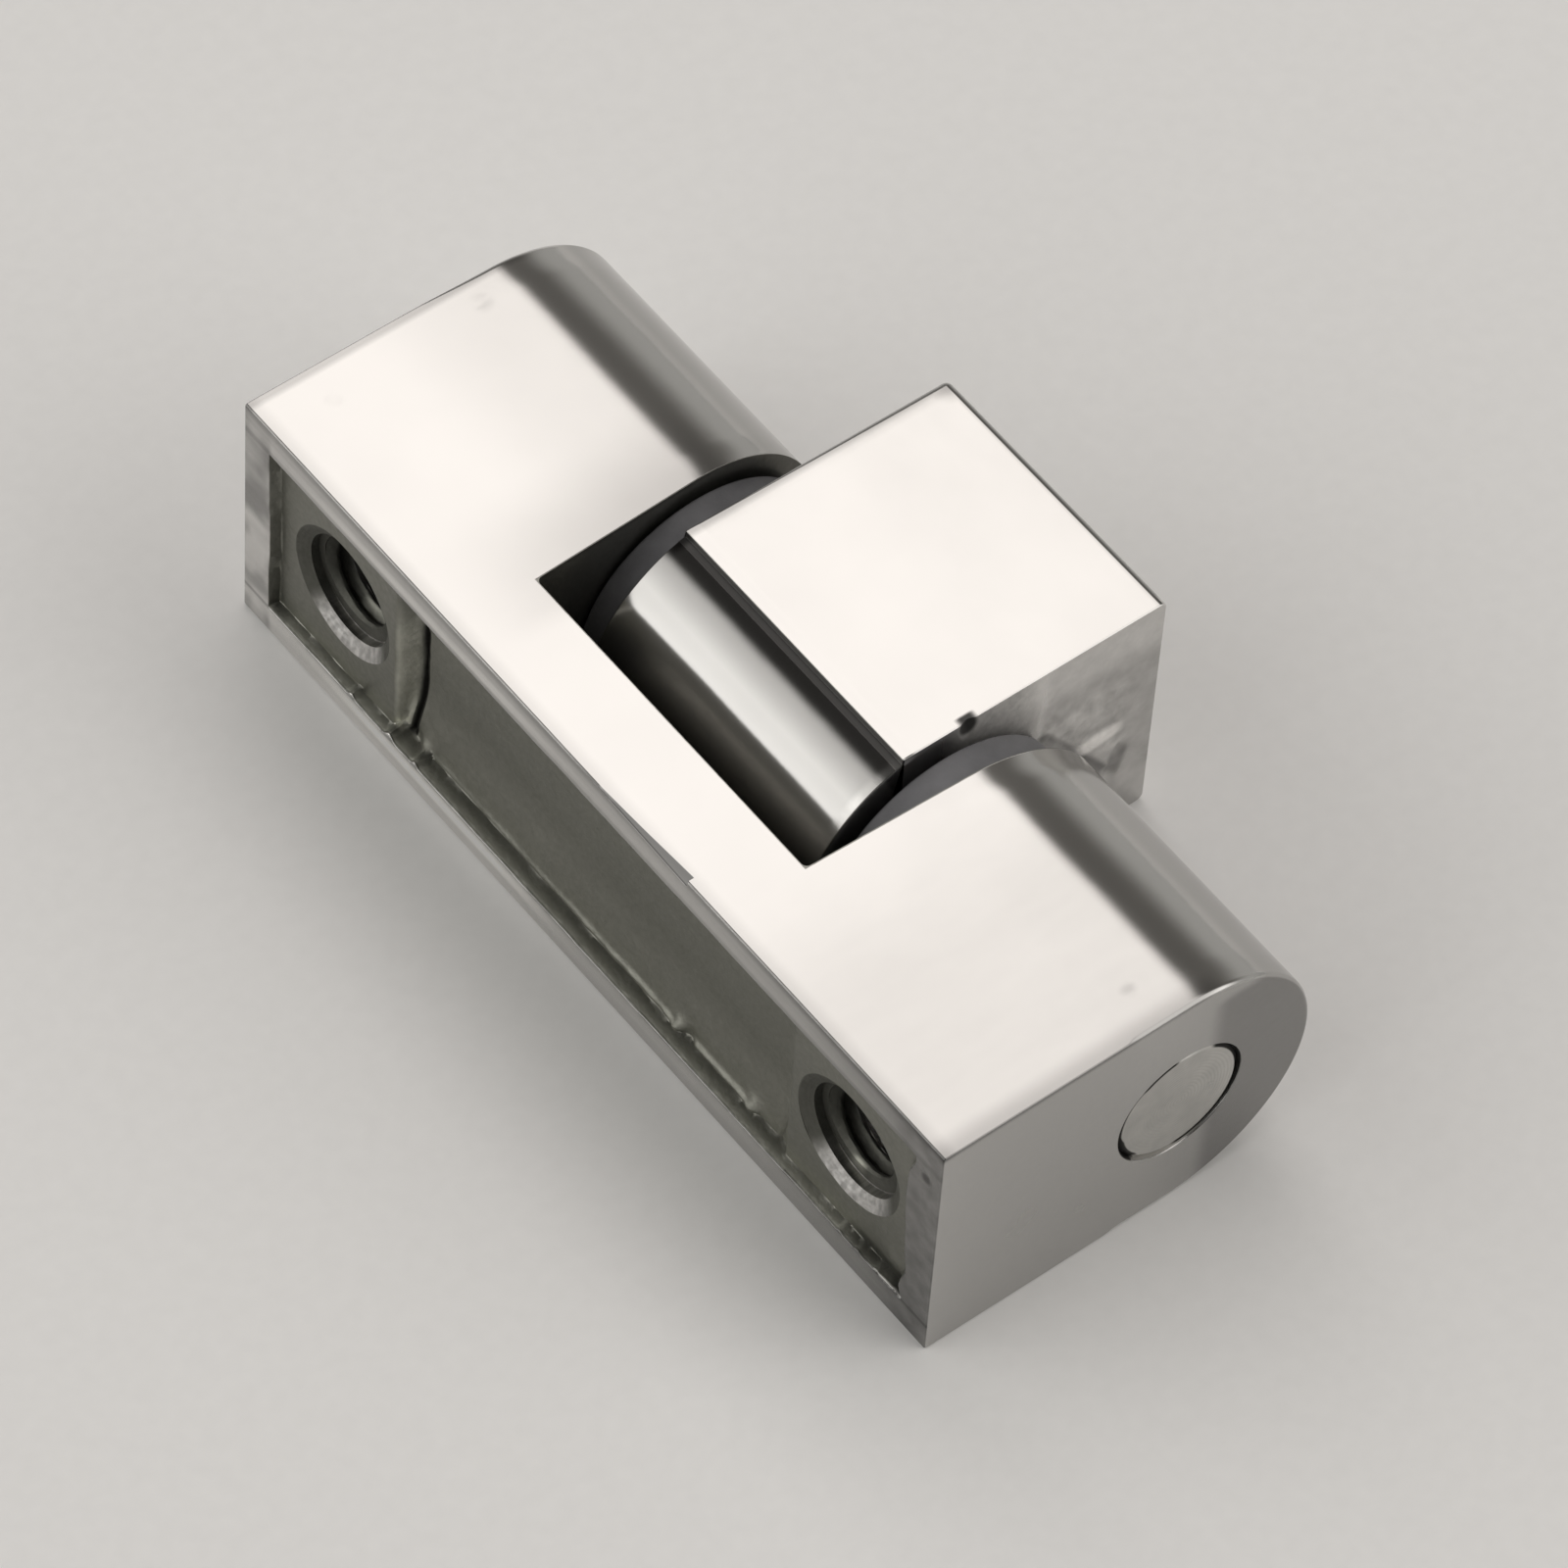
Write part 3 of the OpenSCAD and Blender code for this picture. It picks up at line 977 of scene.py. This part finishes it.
def top_shade_and_stains(x, y, blotch):
    """Painted shade on the flat tops, where their reflections are dimmer: by the notch's far cheek, the
    back edge and both ends, plus three stains, each given by its x, y, radius and strength."""
    far_cheek = x.rise(0.0, 10.0) * (y - notch_half_tight).rise(6.5, 0.0) * y.rise(8.0, 10.0)
    dimming = 0.12 * y.rise(-11.0, -21.0) + 0.10 * x.rise(7.0, 14.0) * y.rise(9.0, 12.0) + 0.24 * far_cheek
    dimming = dimming + 0.12 * x.rise(1.1, 0.2) + 0.05 * blotch * y.rise(-8.0, -16.0)
    dimming = dimming + 0.25 * y.rise(-28.4, -29.8) + 0.30 * y.rise(29.2, 29.7)
    for stain_x, stain_y, radius, strength in STAINS:
        stain = distance(x - stain_x, y - stain_y).rise(radius, 0.1)
        dimming = dimming + 0.28 * strength * stain * blotch.rise(0.35, 0.7)
    return dimming


def frame_features(tree, x, y, z):
    """Masks of the long leaf: the recess is as cast and the holes are machined. The colour has painted
    shade on the tops, ends, nose, rim and countersinks, painted light on a boss's slope, the rim, the
    lower wall and in glints in the threads, and dark marks, mostly painted shade, round the pin, in
    the crack under a boss's slope, on the chip, in the threads and a corner."""
    out_y, out_z = y.size(), z.size()

    def streaked(scale_y, scale_z, detail=3.0):
        squeezed = {"X": x * 0.3, "Y": y * scale_y, "Z": z * scale_z}
        return noise(tree, node(tree, "ShaderNodeCombineXYZ", None, squeezed).out(), 1.0, detail)

    blotch = streaked(0.8, 0.8)
    streak = streaked(0.06, 1.1)
    rub = streaked(2.6, 2.6).rise(0.30, 0.70)
    mottle = streaked(0.40, 0.40, 1.0).rise(0.38, 0.64)

    # Where things are
    from_hole = distance(out_y - hole_y, z)
    machined = from_hole.rise(sink_r + 0.06, sink_r) * x.rise(0.3, 0.6) * x.rise(10.5, 10.0)
    bright = crescent(y - hole_y, z, MOUTH_R, sink_r).most(crescent(y + hole_y, z, MOUTH_R, sink_r))
    near_end = y.rise(-24.5, -28.5)
    recess = x.rise(0.012, 0.07 + 0.25 * near_end) * x.rise(3.2, 3.0)
    recess = recess * out_y.rise(half_length - end_rim_t + 0.5, half_length - end_rim_t + 0.2)
    recess = recess * out_z.rise(half_height - rim_t + 0.3, half_height - rim_t + 0.2)
    recess = recess * (1.0 - bright * machined)
    cheek = notch_half_tight + (x - (pin_x - 7.7)) * math.tan(cheek_draft)
    notch = x.rise(bridge_t - 0.06, bridge_t - 0.03) * (out_y - cheek).rise(0.06, 0.03)
    rim = x.rise(0.08, 0.03)
    within = out_z.rise(7.2, 6.9)
    ends = out_y.rise(half_length - 0.12, half_length - 0.04)
    top = z.rise(half_height - 0.4, half_height - 0.1)
    low_nose = x.rise(17.5, 19.0) * z.rise(7.7, 6.8)
    slope_band = y.near(16.85, 0.20, 0.30) * z.rise(4.8, 0.8) * within
    slope_band = slope_band * x.rise(0.5, 0.8) * x.rise(2.8, 2.4)
    low_wall = x.rise(0.10, 0.16) * x.rise(0.85, 0.15) * z.rise(-6.2, -6.4) * within

    # Painted light and shade: the tops, the end faces and the lower nose are darkened, the far
    # boss's slope band is lightened, the countersinks are darkened outside their lit crescents,
    # glints are painted in the threads, the rim gets painted light and shade, and the lower wall's
    # top is lightened
    shade = 1.0 - top_shade_and_stains(x, y, blotch) * top + rim * (streak - 0.5) * 0.40 - 0.13 * ends
    shade = shade - 0.28 * low_nose - 0.12 * ends * x.rise(13.0, 20.0) + 1.3 * slope_band
    shade = shade * (1.0 - 0.48 * machined * (1.0 - bright) - 0.40 * bright * machined * rub)
    shade = shade * (1.0 + 2.0 * painted_thread_glints(x, y, z))
    shade = shade * (1.0 + rim * (rim_painted_light(y, z) - 1.0))
    shade = shade * (1.0 - near_end * rim * (0.12 + 0.30 * blotch.rise(0.25, 0.75)))
    shade = shade * (1.0 - rim * y.rise(27.4, 27.9) * (0.12 + 0.36 * mottle))
    shade = shade * (1.0 + 1.1 * low_wall * (out_y - 18.0).rise(9, 8))
    # Painted shade over the lower wall at the near end of the recess
    shade = shade * (1.0 - 0.55 * recess * y.rise(-22.0, -24.0) * z.rise(-5.7, -6.2))

    # Dark marks, mostly painted shade: in the joint round the pin, in the crack under the far boss's
    # slope, on the chip and in a corner of the recess, oil and painted shade in the holes' upper
    # insides, and a dark spot on the rim at the near end
    corner = distance(y + 27.7, z + 6.7).rise(1.3, 0.5) * x.rise(0.04, 0.10) * x.rise(3.2, 3.0)
    crack = y.near(16.16, 0.24, 0.14) * z.rise(2.6, 2.0) * z.rise(-6.6, -6.3)
    crack = crack * x.rise(1.0, 1.3) * x.rise(3.0, 2.8)
    chip = x.rise(0.004, 0.02) * x.rise(0.60, 0.50) * z.rise(8.15, 8.30) * z.rise(8.747, 8.735)
    chip = chip * y.rise(-8.72, -8.62) * y.rise(3.0, -3.0)
    inside = machined * x.rise(boss_recess + 0.5, boss_recess + 1.6) * from_hole.rise(3.6, 3.4)
    spot = distance(y + 28.8, z - 5.7).rise(0.55, 0.15) * x.rise(0.5, 0.3)
    dirt_and_shade = pin_joint_shade(x, y, z) + 0.95 * crack + 0.7 * chip + 0.50 * inside * z.rise(-2.6, -1.0)
    dirt_and_shade = dirt_and_shade + 0.55 * spot + 0.55 * corner

    # Worn edges of the ears, and fine turning marks in the holes
    worn = out_y.rise(half_length - 2.2, half_length) + (out_y - notch_half_tight - 0.3).rise(1.8, 0.0)
    lift = -0.12 * worn * x.rise(11, 22) * z.rise(4, 8)
    lift = lift + 0.002 * machined * (from_hole * 26.0).sine()
    return recess.most(notch * 0.75), machined, ends.most(rim) * 0.6, dirt_and_shade, shade, lift

# %% Marks on the short leaf
FACET = (26.6, -0.75), (29.2, -0.35)


def segment_mask(x, z, start, end, half, soft):
    """1 within half of a segment between two points (x, z), falling to 0 over a soft band."""
    run_x, run_z = end[0] - start[0], end[1] - start[1]
    length = math.hypot(run_x, run_z)
    along = ((x - start[0]) * run_x + (z - start[1]) * run_z) / length
    off = ((z - start[1]) * run_x - (x - start[0]) * run_z) / length
    ends = along.rise(-soft, soft) * along.rise(length + soft, length - soft)
    return off.size().rise(half + soft, half) * ends


def door_features(tree, x, y, z):
    """Masks of the short leaf: its mounting face is as cast with a machined hole, and its near side has
    the scar. Painted light brightens the scar's facet, the upper side and the side by the ear, painted
    shade darkens the far edges, the knuckle by the land, and the scar's torn line, pits, nick and
    the land's step. The lift also crowns the knuckle."""
    machined = distance(y - door_mid_y, z).rise(sink_r + 0.06, sink_r) * x.rise(pin_x + 5.5, pin_x + 6)
    recess = x.rise(door_high[0] - 0.012, door_high[0] - 0.07) * x.rise(pin_x + 5.5, pin_x + 6)
    half_recess = (door_high[1] - door_low[1]) / 2 - rim_t
    recess = recess * (y - door_mid_y).size().rise(half_recess + 0.3, half_recess + 0.2)
    recess = recess * z.size().rise(half_height - rim_t + 0.3, half_height - rim_t + 0.2) * (1.0 - machined)
    under_top = z.rise(half_height - 0.02, half_height - 0.07)
    side = y.rise(door_low[1] + 0.8, door_low[1] + 0.3) * under_top
    side_place = node(tree, "ShaderNodeCombineXYZ", None, {"X": x, "Y": 0.0, "Z": z}).out()
    blotch = noise(tree, side_place, 0.75, 4.0)
    patch = side * x.rise(22.5, 24) * (z + 0.9 * (x - 23.4) - 1.5).rise(0.0, 1.5)
    scar = patch * x.rise(30.2, 28.6) * z.rise(4.6, 2.8)
    by_ear = side * x.rise(24.5, 21.5) * x.rise(15.5, 18.5) * z.rise(3.0, 5.0)
    torn = segment_mask(x, z, *TORN_LINE, 0.28, 0.45) * side
    facet = segment_mask(x, z, *FACET, 0.20, 0.50) * side
    pit = segment_mask(x, z, *PIT, 0.34, 0.55) * side
    nick = distance(x - NICK[0], 0.75 * (z - NICK[1])).rise(0.80, 0.42)
    nick = nick * y.rise(door_low[1] + 0.55, door_low[1] + 0.35)
    step = x.near(land_x - 0.20, 0.16, 0.10) * z.rise(7.9, 8.2)
    edge_painted_shade = y.rise(door_high[1] - 0.75, door_high[1] - 0.2)
    edge_painted_shade = edge_painted_shade.most(x.rise(door_high[0] - 0.75, door_high[0] - 0.2))
    edge_painted_shade = edge_painted_shade.most(distance(x - door_high[0], y - door_high[1]).rise(2.0, 0.7))
    worn = (y - door_mid_y).rise(8.2, 9.4) * 0.06 + (x - land_x).rise(0.9, 0.0) * 0.07
    lift = -1.0 * worn * z.rise(half_height - 0.6, half_height - 0.1)
    tilt = angle_of(pin_x - x, z)
    lift = lift + 0.14 * tilt.rise(38, 54) * tilt.rise(120, 90)
    # Painted light on the upper part of the near side, on the facet and on the side by the ear
    shade = 1.0 - 0.12 * side + 0.50 * side * (blotch - 0.5) + 0.34 * side * z.rise(4.2, 6.8) + 0.70 * facet
    shade = shade + 0.9 * scar * (blotch - 0.40) + 0.30 * by_ear
    # Painted shade on the knuckle's band by the land and on the top's far and face edges
    shade = shade * (1.0 - 0.50 * tilt.near(18.5, 4.5, 2.5) * x.rise(land_x, land_x - 0.05))
    shade = shade - 0.38 * edge_painted_shade * z.rise(half_height - 1.2, half_height - 0.5) * (1.0 - side)
    # Painted shade in the torn line, the pits, the nick and the land's step, less on the facet
    dirt_and_shade = (0.50 * torn).most(0.46 * pit).most(0.92 * nick).most(0.7 * step) * (1.0 - 0.8 * facet)
    return recess, machined, (side * 0.35).most(patch * 0.7).most(by_ear * 2.2), dirt_and_shade, shade, lift

# %% [markdown]
# The pin's end was faced on a lathe, which leaves fine rings round its axis. The washers are dark
# moulded plastic, which scatters light, so they have no metal in them, only a finely pitted skin.

# %% Pin steel and washer plastic
RING_SPACING = 0.22


def pin_steel():
    """Turned steel: fine rings round the axis on the end, and a faint mottle in colour and bumps."""
    material, tree, place, (x, y, z) = new_material("turned_steel")
    rings = (distance(x - pin_x, z) * (2 * math.pi / RING_SPACING)).sine()
    patch = noise(tree, place, 900.0, 3.0)
    # Painted shade of the joint round the pin's end
    dirt_and_shade = pin_joint_shade(x, y, z)
    tint = ramp(tree, [(0.3, (0.46, 0.455, 0.435)), (0.7, (0.54, 0.53, 0.505))], patch)
    tint = scaled(tree, tint, 1.0 - DIRT_AND_SHADE_DARK * dirt_and_shade)
    roughness = 0.24 + 0.12 * patch + 0.3 * dirt_and_shade
    normal = bump(tree, rings * 0.3 + patch, 0.02 * MM, 0.6)
    finish_surface(tree, {"Base Color": tint, "Metallic": 1.0, "Roughness": roughness, "Normal": normal})
    return material


def washer_plastic():
    """Dark grey moulded plastic with a faint sparkle of mould texture, lighter on the near washer."""
    material, tree, place, (_, y, _) = new_material("moulded_plastic")
    patch = noise(tree, place, 500.0, 4.0)
    pits = noise(tree, place, 5200.0, 2.0)
    near_lighter = y.rise(5.0, -5.0)
    stops = [(0.30, (0.085, 0.085, 0.091)), (0.60, (0.120, 0.120, 0.127)), (1.0, (0.180, 0.180, 0.190))]
    tint = ramp(tree, stops, 0.9 * patch + 0.32 * near_lighter)
    normal = bump(tree, pits, 0.03 * MM, 0.7)
    finish_surface(tree, {"Base Color": tint, "Roughness": 0.42 + 0.16 * patch, "Normal": normal})
    return material

# %% [markdown]
# Flat faces and round ones meet here without a crease, so plain smooth shading would bend light
# across the flats. Normals weighted by face area keep each flat face flat, and true corners are
# marked sharp.

# %% Finish, shading and riding
CREASE = math.radians(32)
AREA_WEIGHT = 90


def dress(piece, cad_node, body, material):
    """Gives a piece its finish and smooth faces, and puts it on its body in place of its CAD node."""
    piece.data.materials.clear()
    piece.data.materials.append(material)
    piece.data.shade_smooth()
    piece.data.set_sharp_from_angle(angle=CREASE)
    weigh = piece.modifiers.new("weighted_normals", "WEIGHTED_NORMAL")
    weigh.mode, weigh.weight, weigh.keep_sharp = "FACE_AREA", AREA_WEIGHT, True
    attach(piece, body)
    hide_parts(cad_node)
    print(f"{piece.name}: {material.name}, on {body}")


frame_plating = plated_casting("frame_plating", frame_features)
door_plating = plated_casting("door_plating", door_features)
dress(frame_casting, "frame_leaf", "frame_side", frame_plating)
dress(door_casting, "door_leaf", "door_side", door_plating)
dress(pin_rod, "hinge_pin", "frame_side", pin_steel())
plastic = washer_plastic()
dress(near_ring, "near_washer", "frame_side", plastic)
dress(far_ring, "far_washer", "frame_side", plastic)
